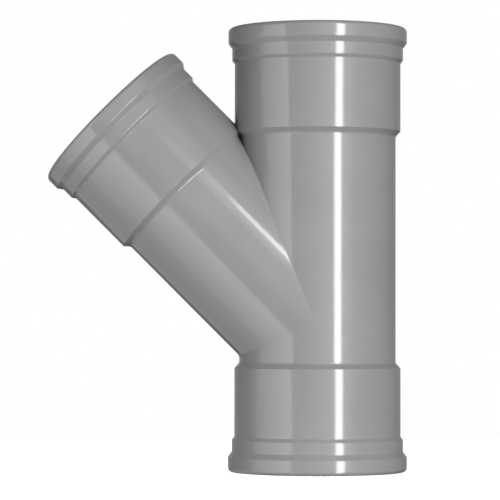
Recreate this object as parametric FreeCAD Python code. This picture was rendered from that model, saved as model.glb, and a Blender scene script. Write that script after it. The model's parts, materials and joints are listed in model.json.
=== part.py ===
import FreeCAD, Part
import math
import os

# A 45 degree equal wye for 110 mm drain pipe: one grey moulding with three push-fit
# sockets, and a lip seal ring in the groove of each socket. Millimetres and degrees.
# The origin is the centre of the pipe stop in the lower run socket, +Z is up along
# the run, and the branch leans towards -X.

# Pipe that the fitting joins
pipe_diameter = 110.0
branch_angle = 45.0

# Straight arms between the crossing of the axes and the shoulders of the sockets
wall = 3.2
centre_to_lower_shoulder = 27.8
centre_to_upper_shoulder = 131.2
centre_to_branch_shoulder = 131.2
shoulder_length = 3.6
shoulder_to_stop = 4.8

# Socket, from the shoulder to the mouth
socket_clearance = 0.2
socket_length = 51.4

# Band over the lip of the seal, and collar over its bead
lip_recess_depth = 1.8
band_chamfer_length = 2.4
band_length = 8.3
bead_groove_depth = 4.55
collar_chamfer_length = 3.8
collar_length = 10.5
mouth_edge_radius = 3.0
mouth_edge_flats = 2

# Inside of the mouth
mouth_lip_thickness = 3.0
mouth_lip_gap = 1.3
mouth_lead_in = 1.2
bead_groove_length = 8.2
recess_end_slope = 2.2

# Lip seal ring, drawn as it lies on the pipe
seal_gap = 0.3
seal_lip_clearance = 0.05
seal_lip_thickness = 1.3
seal_lip_end_gap = 2.0
seal_lead_in = 3.0

# Radii that follow from the sizes above
pipe_radius = pipe_diameter / 2
waterway_radius = pipe_radius - wall
socket_radius = pipe_radius + socket_clearance
socket_outer_radius = socket_radius + wall
recess_radius = socket_radius + lip_recess_depth
band_radius = recess_radius + wall
groove_radius = socket_radius + bead_groove_depth
collar_radius = groove_radius + wall
mouth_radius = pipe_radius + mouth_lip_gap

# Places along an arm, measured from its shoulder
band_start = socket_length + band_chamfer_length
band_end = band_start + band_length
collar_start = band_end + collar_chamfer_length
mouth_end = collar_start + collar_length
groove_end = mouth_end - mouth_lip_thickness
groove_start = groove_end - bead_groove_length
recess_start = socket_length + recess_end_slope / 2

stop_to_centre = centre_to_lower_shoulder + shoulder_to_stop
centre = FreeCAD.Vector(0, 0, stop_to_centre)


def turned(corners):
    """A solid of revolution about Z from the (radius, height) corners of its half section."""
    points = [FreeCAD.Vector(radius, 0, height) for radius, height in corners]
    section = Part.Face(Part.makePolygon(points + points[:1]))
    return section.revolve(FreeCAD.Vector(0, 0, 0), FreeCAD.Vector(0, 0, 1), 360)


def mouth_edge(mouth):
    """The rounded outer edge of a mouth, from the collar's side to the face of the rim."""
    corners = []
    for step in range(mouth_edge_flats + 1):
        turn = math.radians(90 * step / mouth_edge_flats)
        radius = collar_radius - mouth_edge_radius * (1 - math.cos(turn))
        height = mouth - mouth_edge_radius * (1 - math.sin(turn))
        corners.append((radius, height))
    return corners


def arm_outside(shoulder):
    """Outside of one arm along +Z from the crossing of the axes, as a full solid."""
    mouth = shoulder + mouth_end
    corners = [
        (0, 0),
        (pipe_radius, 0),
        (pipe_radius, shoulder),
        (socket_outer_radius, shoulder + shoulder_length),
        (socket_outer_radius, shoulder + socket_length),
        (band_radius, shoulder + band_start),
        (band_radius, shoulder + band_end),
        (collar_radius, shoulder + collar_start),
    ]
    return turned(corners + mouth_edge(mouth) + [(0, mouth)])


def arm_inside(shoulder):
    """Hollow of one arm: waterway, pipe socket, seal recess, bead groove and mouth."""
    beyond = mouth_end + mouth_lip_thickness
    return turned([
        (0, 0),
        (waterway_radius, 0),
        (waterway_radius, shoulder + shoulder_to_stop),
        (socket_radius, shoulder + shoulder_to_stop),
        (socket_radius, shoulder + recess_start - recess_end_slope),
        (recess_radius, shoulder + recess_start),
        (recess_radius, shoulder + groove_start),
        (groove_radius, shoulder + groove_start),
        (groove_radius, shoulder + groove_end),
        (mouth_radius, shoulder + groove_end),
        (mouth_radius + 2 * mouth_lead_in, shoulder + beyond),
        (0, shoulder + beyond),
    ])


def seal_ring(shoulder):
    """Lip seal: a bead in the groove, and a lip that points to the pipe stop."""
    lip_radius = pipe_radius + seal_lip_clearance
    lip_outer = lip_radius + seal_lip_thickness
    lip_end = shoulder + recess_start + seal_lip_end_gap
    bead_outer = groove_radius - seal_gap
    bead_low = shoulder + groove_start + seal_gap
    bead_high = shoulder + groove_end - seal_gap
    return turned([
        (lip_radius, lip_end),
        (lip_radius, bead_high - seal_lead_in),
        (mouth_radius, bead_high),
        (bead_outer, bead_high),
        (bead_outer, bead_low),
        (lip_outer, bead_low),
        (lip_outer, lip_end),
    ])


def lower_arm(shape):
    """Turns an arm from +Z to -Z, about the crossing of the axes."""
    placed = shape.copy()
    placed.rotate(FreeCAD.Vector(0, 0, 0), FreeCAD.Vector(0, 1, 0), 180)
    placed.translate(centre)
    return placed


def upper_arm(shape):
    """Leaves an arm along +Z, from the crossing of the axes."""
    placed = shape.copy()
    placed.translate(centre)
    return placed


def branch_arm(shape):
    """Leans an arm towards -X, with the start of its turned faces on the underside."""
    placed = shape.copy()
    placed.rotate(FreeCAD.Vector(0, 0, 0), FreeCAD.Vector(0, 0, 1), 180)
    placed.rotate(FreeCAD.Vector(0, 0, 0), FreeCAD.Vector(0, 1, 0), -branch_angle)
    placed.translate(centre)
    return placed


arms = {
    "bottom": (lower_arm, centre_to_lower_shoulder),
    "top": (upper_arm, centre_to_upper_shoulder),
    "branch": (branch_arm, centre_to_branch_shoulder),
}


def fitting_body():
    """The moulding: three arms in one wall, hollow all through."""
    outside = None
    hollow = None
    for place, shoulder in arms.values():
        arm = place(arm_outside(shoulder))
        bore = place(arm_inside(shoulder))
        outside = arm if outside is None else outside.fuse(arm)
        hollow = bore if hollow is None else hollow.fuse(bore)
    return outside.cut(hollow).removeSplitter()


def export(name, shape):
    print(name, "valid", shape.isValid(), "solids", len(shape.Solids), "volume", round(shape.Volume, 1))
    shape.exportStep("parts/" + name + ".step")


os.makedirs("parts", exist_ok=True)
export("fitting_body", fitting_body())
for arm_name, (place, shoulder) in arms.items():
    export("seal_ring_" + arm_name, place(seal_ring(shoulder)))
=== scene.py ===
import json
import math

import bmesh
import bpy
from mathutils import Matrix, Vector


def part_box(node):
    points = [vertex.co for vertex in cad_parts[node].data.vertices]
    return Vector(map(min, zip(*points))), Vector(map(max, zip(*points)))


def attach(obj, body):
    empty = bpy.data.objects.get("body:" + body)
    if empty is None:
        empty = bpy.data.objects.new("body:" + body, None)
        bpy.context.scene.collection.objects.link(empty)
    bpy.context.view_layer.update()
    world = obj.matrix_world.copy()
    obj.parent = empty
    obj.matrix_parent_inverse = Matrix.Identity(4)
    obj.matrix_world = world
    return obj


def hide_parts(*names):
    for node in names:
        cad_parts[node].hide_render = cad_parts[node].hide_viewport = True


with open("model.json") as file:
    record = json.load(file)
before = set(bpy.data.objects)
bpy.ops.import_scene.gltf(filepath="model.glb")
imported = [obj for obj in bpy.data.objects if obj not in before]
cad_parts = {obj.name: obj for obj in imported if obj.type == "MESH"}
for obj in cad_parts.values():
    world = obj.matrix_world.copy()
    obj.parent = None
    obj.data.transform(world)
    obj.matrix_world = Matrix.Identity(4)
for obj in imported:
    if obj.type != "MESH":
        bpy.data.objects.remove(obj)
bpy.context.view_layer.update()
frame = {"record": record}

# A grey plastic 45 degree wye for drain pipe, standing on the mouth of its run.
# Everything is in metres. +Z is up along the run, and the branch leans towards -X.
MM = 0.001

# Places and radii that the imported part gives
ARMS = ("bottom", "top", "branch")
mounts = {mount["name"]: mount for mount in frame["record"]["mounts"]}
stops = {arm: Vector(mounts["socket_" + arm]["pos_m"]) for arm in ARMS}
ways = {arm: Vector(mounts["socket_" + arm]["axis"]).normalized() for arm in ARMS}
socket_radius = mounts["socket_top"]["dims"]["r_mm"] * MM
body_low, body_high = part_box("fitting_body")
stop_to_mouth = body_high.z - stops["top"].z
collar_radius = body_high.y
centre = stops["branch"] - ways["branch"] * (stops["branch"].x / ways["branch"].x)
floor_height = body_low.z

# Sizes of the moulding, as in the solids
wall = 3.2 * MM
socket_clearance = 0.2 * MM
shoulder_length = 3.6 * MM
shoulder_to_stop = 4.8 * MM
collar_length = 10.5 * MM
collar_chamfer_length = 3.8 * MM
band_length = 8.3 * MM
band_chamfer_length = 2.4 * MM
mouth_edge_radius = 3.0 * MM
mouth_lip_thickness = 3.0 * MM
mouth_lip_gap = 1.3 * MM
mouth_lead_in = 1.2 * MM
bead_groove_length = 8.2 * MM
lip_recess_depth = 1.8 * MM
recess_end_slope = 2.2 * MM

# Sizes of the seal rings, as in the solids
seal_gap = 0.3 * MM
seal_lip_clearance = 0.05 * MM
seal_lip_thickness = 1.3 * MM
seal_lip_end_gap = 2.0 * MM
seal_lead_in = 3.0 * MM

# Radii that follow
pipe_radius = socket_radius - socket_clearance
waterway_radius = pipe_radius - wall
socket_outer_radius = socket_radius + wall
recess_radius = socket_radius + lip_recess_depth
band_radius = recess_radius + wall
groove_radius = collar_radius - wall
mouth_radius = pipe_radius + mouth_lip_gap

# Roundings of the edges, which the solids leave sharp
shoulder_foot_rounding = 3.0 * MM
shoulder_rounding = 0.4 * MM
band_rounding = 1.6 * MM
foot_rounding = 0.7 * MM
lip_rounding = 0.3 * MM
seal_rounding = 0.35 * MM
heel_rounding = 5.0 * MM
crotch_rounding = 1.5 * MM
bore_rounding = 1.0 * MM
crease_fade = 25 * MM

# Fineness of the turned meshes
TURN_STEPS = 240
ARC_STEP = math.radians(12)
CREASE_STEPS = 5
SHARP_ANGLE = math.radians(35)

# Distances below which points are one when arms are welded, and lie on a plane when cut
WELD = 0.002 * MM
CUT_SNAP = WELD / 10

# Creases between the arms: the two arms, the rounding and where it starts to fade
CREASES = (
    ("bottom", "branch", heel_rounding, 60 * MM),
    ("top", "branch", crotch_rounding, 100 * MM),
)

# Camera, with its place and turn as seen from the crossing of the axes
camera_lens = 199.5
camera_film = 36
camera_yaw = math.radians(-2.09)
camera_pitch = math.radians(-1.39)
camera_roll = math.radians(-0.07)
camera_distance = 1950.2 * MM
camera_aim = Vector((47.45, -51.55)) * MM

# Brightness of the room as (place, level) pairs. The two are multiplied. Places run from
# 0 to 1: once round from behind by way of the left, the camera and the right, and from
# straight below to straight above.
room_round = [
    (0.0, 1.0), (0.012, 1.0), (0.02, 0.35), (0.08, 0.25), (0.11, 0.08), (0.22, 0.15),
    (0.45, 0.2), (0.5, 0.7), (0.55, 1.5), (0.62, 1.85), (0.655, 0.5), (0.72, 0.15),
    (0.78, 0.05), (0.89, 0.08), (0.92, 0.25), (0.98, 0.35), (0.988, 1.0), (1.0, 1.0),
]
room_upward = [
    (0.0, 0.05), (0.4, 0.1), (0.47, 0.8), (0.5, 1.0), (0.57, 0.95), (0.64, 0.5), (1.0, 0.5),
]

# Floor
floor_radius = 0.6
floor_steps = 96
floor_white = (0.8, 0.8, 0.8)
floor_glow = 0.8

# Colours
grey = (0.263, 0.261, 0.27)
grey_dark = (0.254, 0.252, 0.261)
grey_pale = (0.272, 0.27, 0.279)
rubber = (0.02, 0.02, 0.02)
rubber_bloom = (0.03, 0.03, 0.031)

# Part of a noise's run from 0 to 1 that a colour or a roughness changes over
noise_low = 0.3
noise_high = 0.7


def rounded(corners):
    """Points along a section whose (distance, radius, rounding) corners become arcs."""
    points = []
    count = len(corners)
    for index, (distance, radius, rounding) in enumerate(corners):
        here = Vector((distance, radius))
        if rounding == 0:
            points.append(here)
            continue
        before = (Vector(corners[index - 1][:2]) - here).normalized()
        after = (Vector(corners[(index + 1) % count][:2]) - here).normalized()
        half_angle = before.angle(after) / 2
        hub = here + (before + after).normalized() * (rounding / math.sin(half_angle))
        reach = rounding / math.tan(half_angle)
        start = here + before * reach - hub
        end = here + after * reach - hub
        turn = -start.angle_signed(end)
        steps = max(2, math.ceil(abs(turn) / ARC_STEP))
        for step in range(steps + 1):
            points.append(hub + Matrix.Rotation(turn * step / steps, 2) @ start)
    return [(point.x, point.y) for point in points]


def arm_section(mouth):
    """Half section of one arm, out along its outside and back along its bore."""
    past_centre = -2 * pipe_radius
    stop = mouth - stop_to_mouth
    shoulder = stop - shoulder_to_stop
    band_end = mouth - collar_length - collar_chamfer_length
    band_start = band_end - band_length
    groove_end = mouth - mouth_lip_thickness
    groove_start = groove_end - bead_groove_length
    recess_start = band_start - band_chamfer_length + recess_end_slope / 2
    return rounded([
        (past_centre, pipe_radius, 0),
        (shoulder, pipe_radius, shoulder_foot_rounding),
        (shoulder + shoulder_length, socket_outer_radius, shoulder_rounding),
        (band_start - band_chamfer_length, socket_outer_radius, foot_rounding),
        (band_start, band_radius, band_rounding),
        (band_end, band_radius, foot_rounding),
        (band_end + collar_chamfer_length, collar_radius, band_rounding),
        (mouth, collar_radius, mouth_edge_radius),
        (mouth, mouth_radius + mouth_lead_in, lip_rounding),
        (groove_end, mouth_radius, lip_rounding),
        (groove_end, groove_radius, 0),
        (groove_start, groove_radius, 0),
        (groove_start, recess_radius, lip_rounding),
        (recess_start, recess_radius, lip_rounding),
        (recess_start - recess_end_slope, socket_radius, lip_rounding),
        (stop, socket_radius, 0),
        (stop, waterway_radius, lip_rounding),
        (past_centre, waterway_radius, 0),
    ])


def seal_section(mouth):
    """Section of a seal ring: a bead in the groove, and a lip along the pipe."""
    band_start = mouth - collar_length - collar_chamfer_length - band_length
    recess_start = band_start - band_chamfer_length + recess_end_slope / 2
    bead_high = mouth - mouth_lip_thickness - seal_gap
    bead_low = mouth - mouth_lip_thickness - bead_groove_length + seal_gap
    lip_end = recess_start + seal_lip_end_gap
    lip_inside = pipe_radius + seal_lip_clearance
    lip_outside = lip_inside + seal_lip_thickness
    return rounded([
        (lip_end, lip_inside, seal_rounding),
        (bead_high - seal_lead_in, lip_inside, seal_rounding),
        (bead_high, mouth_radius, seal_rounding),
        (bead_high, groove_radius - seal_gap, seal_rounding),
        (bead_low, groove_radius - seal_gap, seal_rounding),
        (bead_low, lip_outside, seal_rounding),
        (lip_end, lip_outside, seal_rounding),
    ])


def turned(section, way, closed):
    """A bmesh turned about a line through the crossing of the axes, along way."""
    side = Vector((0, 1, 0)).cross(way)
    across = Vector((0, 1, 0))
    mesh = bmesh.new()
    rings = []
    for distance, radius in section:
        ring = []
        for step in range(TURN_STEPS):
            angle = 2 * math.pi * step / TURN_STEPS
            out = side * math.cos(angle) + across * math.sin(angle)
            ring.append(mesh.verts.new(centre + way * distance + out * radius))
        rings.append(ring)
    pairs = list(zip(rings[:-1], rings[1:]))
    if closed:
        pairs.append((rings[-1], rings[0]))
    for first, second in pairs:
        for step in range(TURN_STEPS):
            following = (step + 1) % TURN_STEPS
            mesh.faces.new((first[step], first[following], second[following], second[step]))
    return mesh


def trim(mesh, way, other_way):
    """Cuts an arm off at the plane half way to its neighbour."""
    everything = mesh.verts[:] + mesh.edges[:] + mesh.faces[:]
    bmesh.ops.bisect_plane(
        mesh, geom=everything, dist=CUT_SNAP, plane_co=centre,
        plane_no=(way - other_way).normalized(), clear_inner=True,
    )


def round_crease(mesh, arm, other, skin_radius, rounding, fade_start):
    """Rolls a ball along the crease between two arms, on one skin of one of them.

    The ball's radius falls to nothing over crease_fade beyond fade_start.
    """
    way = ways[arm]
    normal = (way - ways[other]).normalized()
    slope = way.dot(normal)

    def on_skin(vert):
        offset = vert.co - centre
        return abs((offset - way * offset.dot(way)).length - skin_radius) < WELD

    for step in range(1, CREASE_STEPS + 1):
        lift = rounding / skin_radius * step / CREASE_STEPS
        skin = [face for face in mesh.faces if all(on_skin(vert) for vert in face.verts)]
        edges = {edge for face in skin for edge in face.edges}
        verts = {vert for face in skin for vert in face.verts}
        bmesh.ops.bisect_plane(
            mesh, geom=[*verts, *edges, *skin], dist=CUT_SNAP, plane_co=centre,
            plane_no=(normal * (1 + lift) - way * slope * lift).normalized(),
        )
    for vert in [vert for vert in mesh.verts if on_skin(vert)]:
        offset = vert.co - centre
        distance = offset.dot(way)
        out = (offset - way * distance).normalized()
        crease = -skin_radius * out.dot(normal) / slope
        fade = min(max(1 - (crease - fade_start) / crease_fade, 0), 1)
        ball = rounding * fade
        if crease < WELD or ball < WELD:
            continue
        share = (distance / crease - 1) * skin_radius / ball
        if share > 1:
            continue
        hub = way * (crease * (1 + ball / skin_radius)) + out * (skin_radius + ball)
        halfway = (out - normal * out.dot(normal)).normalized()
        vert.co = centre + hub - halfway.slerp(out, max(share, 0)) * ball


def dress(mesh, name, node, finish):
    """Makes a smooth piece from a bmesh and puts it in the place of a node."""
    bmesh.ops.recalc_face_normals(mesh, faces=mesh.faces[:])
    data = bpy.data.meshes.new(name)
    mesh.to_mesh(data)
    mesh.free()
    data.shade_smooth()
    data.set_sharp_from_angle(angle=SHARP_ANGLE)
    data.materials.append(finish)
    piece = bpy.data.objects.new(name, data)
    bpy.context.scene.collection.objects.link(piece)
    even = piece.modifiers.new("even_shading", "WEIGHTED_NORMAL")
    even.keep_sharp = True
    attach(piece, "root")
    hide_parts(node)


def make_moulding(finish):
    """The whole moulding: three turned arms, cut where they meet and welded."""
    whole = bmesh.new()
    for arm in ARMS:
        mouth = (stops[arm] - centre).length + stop_to_mouth
        arm_mesh = turned(arm_section(mouth), ways[arm], False)
        for other in ARMS:
            if other != arm:
                trim(arm_mesh, ways[arm], ways[other])
        for first, second, outside_rounding, fade_start in CREASES:
            if arm in (first, second):
                other = second if arm == first else first
                round_crease(arm_mesh, arm, other, pipe_radius, outside_rounding, fade_start)
                round_crease(arm_mesh, arm, other, waterway_radius, bore_rounding, mouth)
        carrier = bpy.data.meshes.new(arm)
        arm_mesh.to_mesh(carrier)
        arm_mesh.free()
        whole.from_mesh(carrier)
        bpy.data.meshes.remove(carrier)
    bmesh.ops.remove_doubles(whole, verts=whole.verts[:], dist=WELD)
    dress(whole, "fitting_moulding", "fitting_body", finish)


def make_seals(finish):
    """A lip seal ring in each socket."""
    for arm in ARMS:
        mouth = (stops[arm] - centre).length + stop_to_mouth
        ring = turned(seal_section(mouth), ways[arm], True)
        dress(ring, "seal_" + arm, "seal_ring_" + arm, finish)


def new_material(name, colour, roughness):
    """A material with a plain shader, and its node tree to add to."""
    material = bpy.data.materials.new(name)
    material.use_nodes = True
    shader = material.node_tree.nodes["Principled BSDF"]
    shader.inputs["Base Color"].default_value = (*colour, 1)
    shader.inputs["Roughness"].default_value = roughness
    return material, material.node_tree, shader


def add_noise(tree, scale, detail):
    """A noise over the object's own coordinates, with scale in cells per metre."""
    place = tree.nodes.new("ShaderNodeTexCoord")
    noise = tree.nodes.new("ShaderNodeTexNoise")
    noise.inputs["Scale"].default_value = scale
    noise.inputs["Detail"].default_value = detail
    tree.links.new(place.outputs["Object"], noise.inputs["Vector"])
    return noise.outputs["Fac"]


def vary_colour(tree, shader, noise, dark, pale):
    """Drives the colour by a noise, between two shades."""
    ramp = tree.nodes.new("ShaderNodeValToRGB")
    ramp.color_ramp.elements[0].position = noise_low
    ramp.color_ramp.elements[0].color = (*dark, 1)
    ramp.color_ramp.elements[1].position = noise_high
    ramp.color_ramp.elements[1].color = (*pale, 1)
    tree.links.new(noise, ramp.inputs["Fac"])
    tree.links.new(ramp.outputs["Color"], shader.inputs["Base Color"])


def vary_roughness(tree, shader, noise, low, high):
    """Drives the roughness by a noise, between two levels."""
    level = tree.nodes.new("ShaderNodeMapRange")
    level.inputs["From Min"].default_value = noise_low
    level.inputs["From Max"].default_value = noise_high
    level.inputs["To Min"].default_value = low
    level.inputs["To Max"].default_value = high
    tree.links.new(noise, level.inputs["Value"])
    tree.links.new(level.outputs["Result"], shader.inputs["Roughness"])


def add_bump(tree, shader, noise, height):
    """Adds a bump of some height, in metres, over those that the shader has."""
    bump = tree.nodes.new("ShaderNodeBump")
    bump.inputs["Distance"].default_value = height
    tree.links.new(noise, bump.inputs["Height"])
    for link in shader.inputs["Normal"].links:
        tree.links.new(link.from_socket, bump.inputs["Normal"])
    tree.links.new(bump.outputs["Normal"], shader.inputs["Normal"])


def moulded_plastic():
    """Glossy grey plastic with flow marks in its colour and a faint ripple from the mould."""
    material, tree, shader = new_material("grey_plastic", grey, roughness=0.12)
    shader.inputs["IOR"].default_value = 1.53
    flow = add_noise(tree, scale=22, detail=4)
    vary_colour(tree, shader, flow, dark=grey_dark, pale=grey_pale)
    wear = add_noise(tree, scale=90, detail=5)
    vary_roughness(tree, shader, wear, low=0.1, high=0.15)
    ripple = add_noise(tree, scale=26, detail=1)
    add_bump(tree, shader, ripple, height=0.08 * MM)
    grain = add_noise(tree, scale=700, detail=2)
    add_bump(tree, shader, grain, height=0.0015 * MM)
    return material


def seal_rubber():
    """Matt black rubber with a fine grain and a dusty bloom."""
    material, tree, shader = new_material("black_rubber", rubber, roughness=0.5)
    bloom = add_noise(tree, scale=60, detail=4)
    vary_colour(tree, shader, bloom, dark=rubber, pale=rubber_bloom)
    wear = add_noise(tree, scale=300, detail=3)
    vary_roughness(tree, shader, wear, low=0.42, high=0.58)
    grain = add_noise(tree, scale=1500, detail=2)
    add_bump(tree, shader, grain, height=0.01 * MM)
    return material


def make_camera():
    """The camera at the place that the photograph was taken from."""
    turn = Matrix.Rotation(camera_roll, 3, "Z")
    turn = turn @ Matrix.Rotation(camera_pitch, 3, "X")
    turn = turn @ Matrix.Rotation(camera_yaw, 3, "Y")
    stand_up = Matrix.Rotation(math.radians(90), 3, "X")
    facing = stand_up @ turn.transposed()
    place = centre + facing @ Vector((-camera_aim.x, -camera_aim.y, camera_distance))
    data = bpy.data.cameras.new("camera")
    data.lens = camera_lens
    data.sensor_width = camera_film
    camera = bpy.data.objects.new("camera", data)
    camera.matrix_world = Matrix.Translation(place) @ facing.to_4x4()
    bpy.context.scene.collection.objects.link(camera)
    bpy.context.scene.camera = camera


def direction(bearing, height):
    """Unit vector to a bearing and height in degrees, as seen from the object."""
    across = math.radians(bearing)
    up = math.radians(height)
    return Vector((math.sin(across) * math.cos(up), -math.cos(across) * math.cos(up), math.sin(up)))


def add_lamp(
    name, facing, distance, size, radiance, shift=(0, 0), roll=0, far_share=1, mirrored=True,
):
    """A rectangular lamp that faces the crossing of the axes from a bearing and height.

    Facing is in degrees and distance in metres. The size and the shift from that line
    are (across, up) in metres, and the roll about the line is in degrees. The left end
    gives far_share of the radiance of the right end. Glossy surfaces don't mirror a lamp
    that has mirrored off.
    """
    data = bpy.data.lights.new(name, "AREA")
    data.shape = "RECTANGLE"
    data.size, data.size_y = size
    data.energy = radiance * size[0] * size[1] * math.pi
    data.use_nodes = True
    nodes = data.node_tree.nodes
    links = data.node_tree.links
    surface = nodes.new("ShaderNodeNewGeometry")
    across = nodes.new("ShaderNodeSeparateXYZ")
    links.new(surface.outputs["Parametric"], across.inputs[0])
    share = nodes.new("ShaderNodeMapRange")
    share.inputs["To Min"].default_value = far_share
    links.new(across.outputs["X"], share.inputs["Value"])
    links.new(share.outputs["Result"], nodes["Emission"].inputs["Strength"])
    toward = direction(*facing)
    turn = toward.to_track_quat("Z", "Y").to_matrix() @ Matrix.Rotation(math.radians(roll), 3, "Z")
    place = centre + toward * distance + turn @ Vector((*shift, 0))
    lamp = bpy.data.objects.new(name, data)
    lamp.matrix_world = Matrix.Translation(place) @ turn.to_4x4()
    lamp.visible_glossy = mirrored
    bpy.context.scene.collection.objects.link(lamp)


def make_lights():
    """A soft box at the left, a bright strip at the right, a small window above it, and the rest.

    The window and its glow make the streak on the branch. Fill, low and behind only give
    diffuse light. The table is what the underside mirrors, and the rear strip is for the
    views from behind.
    """
    add_lamp(
        "softbox", facing=(-65, 0), distance=0.685, size=(0.72, 1.0), radiance=2.15,
        shift=(0.03, -0.22), roll=15, far_share=0.28,
    )
    add_lamp(
        "strip", facing=(30, 0), distance=1.3, size=(0.232, 1.6), radiance=14.3,
        shift=(-0.004, -0.12),
    )
    add_lamp(
        "window", facing=(30.3, 31.7), distance=1.2, size=(0.12, 0.15), radiance=12,
        shift=(-0.07, 0.01), roll=38,
    )
    add_lamp(
        "glow", facing=(18, 27), distance=1.2, size=(0.22, 0.2), radiance=1.4, roll=36,
    )
    add_lamp(
        "fill", facing=(20, 35), distance=1.2, size=(0.3, 0.3), radiance=1.5,
        mirrored=False,
    )
    add_lamp(
        "low", facing=(-112, 2.5), distance=1.2, size=(1.0, 0.16), radiance=4.5,
        mirrored=False,
    )
    add_lamp(
        "table", facing=(-120, -35), distance=1.2, size=(1.4, 0.8), radiance=0.45,
    )
    add_lamp(
        "behind", facing=(-165, 15), distance=1.6, size=(1.2, 0.8), radiance=7,
        mirrored=False,
    )
    add_lamp(
        "rear_strip", facing=(180, -9), distance=1.3, size=(0.12, 0.6), radiance=10,
    )


def add_maths(nodes, operation, second=0):
    """A maths node with its second number set."""
    maths = nodes.new("ShaderNodeMath")
    maths.operation = operation
    maths.inputs[1].default_value = second
    return maths


def add_levels(nodes, links, source, reach, levels):
    """A colour ramp over a source that runs from -reach to reach, from (place, level) pairs."""
    spread = nodes.new("ShaderNodeMapRange")
    spread.inputs["From Min"].default_value = -reach
    spread.inputs["From Max"].default_value = reach
    links.new(source, spread.inputs["Value"])
    ramp = nodes.new("ShaderNodeValToRGB")
    while len(ramp.color_ramp.elements) < len(levels):
        ramp.color_ramp.elements.new(0.5)
    for element, (at, level) in zip(ramp.color_ramp.elements, levels):
        element.position = at
        element.color = (level, level, level, 1)
    links.new(spread.outputs["Result"], ramp.inputs["Fac"])
    return ramp


def make_world():
    """White where the camera looks, and for all else a room that is brightest at the right."""
    world = bpy.data.worlds.new("studio")
    bpy.context.scene.world = world
    world.use_nodes = True
    nodes = world.node_tree.nodes
    links = world.node_tree.links
    seen = nodes.new("ShaderNodeBackground")
    seen.inputs["Color"].default_value = (1, 1, 1, 1)
    place = nodes.new("ShaderNodeTexCoord")
    parts = nodes.new("ShaderNodeSeparateXYZ")
    links.new(place.outputs["Generated"], parts.inputs[0])
    toward_camera = add_maths(nodes, "MULTIPLY", -1)
    links.new(parts.outputs["Y"], toward_camera.inputs[0])
    bearing = add_maths(nodes, "ARCTAN2")
    links.new(parts.outputs["X"], bearing.inputs[0])
    links.new(toward_camera.outputs[0], bearing.inputs[1])
    around = add_levels(nodes, links, bearing.outputs[0], math.pi, room_round)
    upward = add_levels(nodes, links, parts.outputs["Z"], 1, room_upward)
    both = add_maths(nodes, "MULTIPLY")
    links.new(around.outputs["Color"], both.inputs[0])
    links.new(upward.outputs["Color"], both.inputs[1])
    room = nodes["Background"]
    room.inputs["Color"].default_value = (1, 1, 1, 1)
    links.new(both.outputs[0], room.inputs["Strength"])
    path = nodes.new("ShaderNodeLightPath")
    mix = nodes.new("ShaderNodeMixShader")
    links.new(path.outputs["Is Camera Ray"], mix.inputs["Fac"])
    links.new(room.outputs[0], mix.inputs[1])
    links.new(seen.outputs[0], mix.inputs[2])
    links.new(mix.outputs[0], nodes["World Output"].inputs["Surface"])


def make_floor():
    """A white floor that keeps a faint shadow, and that only the camera sees."""
    data = bpy.data.meshes.new("floor")
    mesh = bmesh.new()
    bmesh.ops.create_circle(mesh, cap_ends=True, segments=floor_steps, radius=floor_radius)
    mesh.to_mesh(data)
    mesh.free()
    floor = bpy.data.objects.new("floor", data)
    floor.location.z = floor_height
    bpy.context.scene.collection.objects.link(floor)
    material = bpy.data.materials.new("floor_white")
    material.use_nodes = True
    nodes = material.node_tree.nodes
    links = material.node_tree.links
    matt = nodes.new("ShaderNodeBsdfDiffuse")
    matt.inputs["Color"].default_value = (*floor_white, 1)
    glow = nodes.new("ShaderNodeEmission")
    glow.inputs["Strength"].default_value = floor_glow
    clear = nodes.new("ShaderNodeBsdfTransparent")
    path = nodes.new("ShaderNodeLightPath")
    both = nodes.new("ShaderNodeAddShader")
    mix = nodes.new("ShaderNodeMixShader")
    links.new(matt.outputs[0], both.inputs[0])
    links.new(glow.outputs[0], both.inputs[1])
    links.new(path.outputs["Is Camera Ray"], mix.inputs["Fac"])
    links.new(clear.outputs[0], mix.inputs[1])
    links.new(both.outputs[0], mix.inputs[2])
    links.new(mix.outputs[0], nodes["Material Output"].inputs["Surface"])
    data.materials.append(material)


make_camera()
make_moulding(moulded_plastic())
make_seals(seal_rubber())
make_floor()
make_lights()
make_world()
bpy.context.scene.view_settings.view_transform = "Standard"
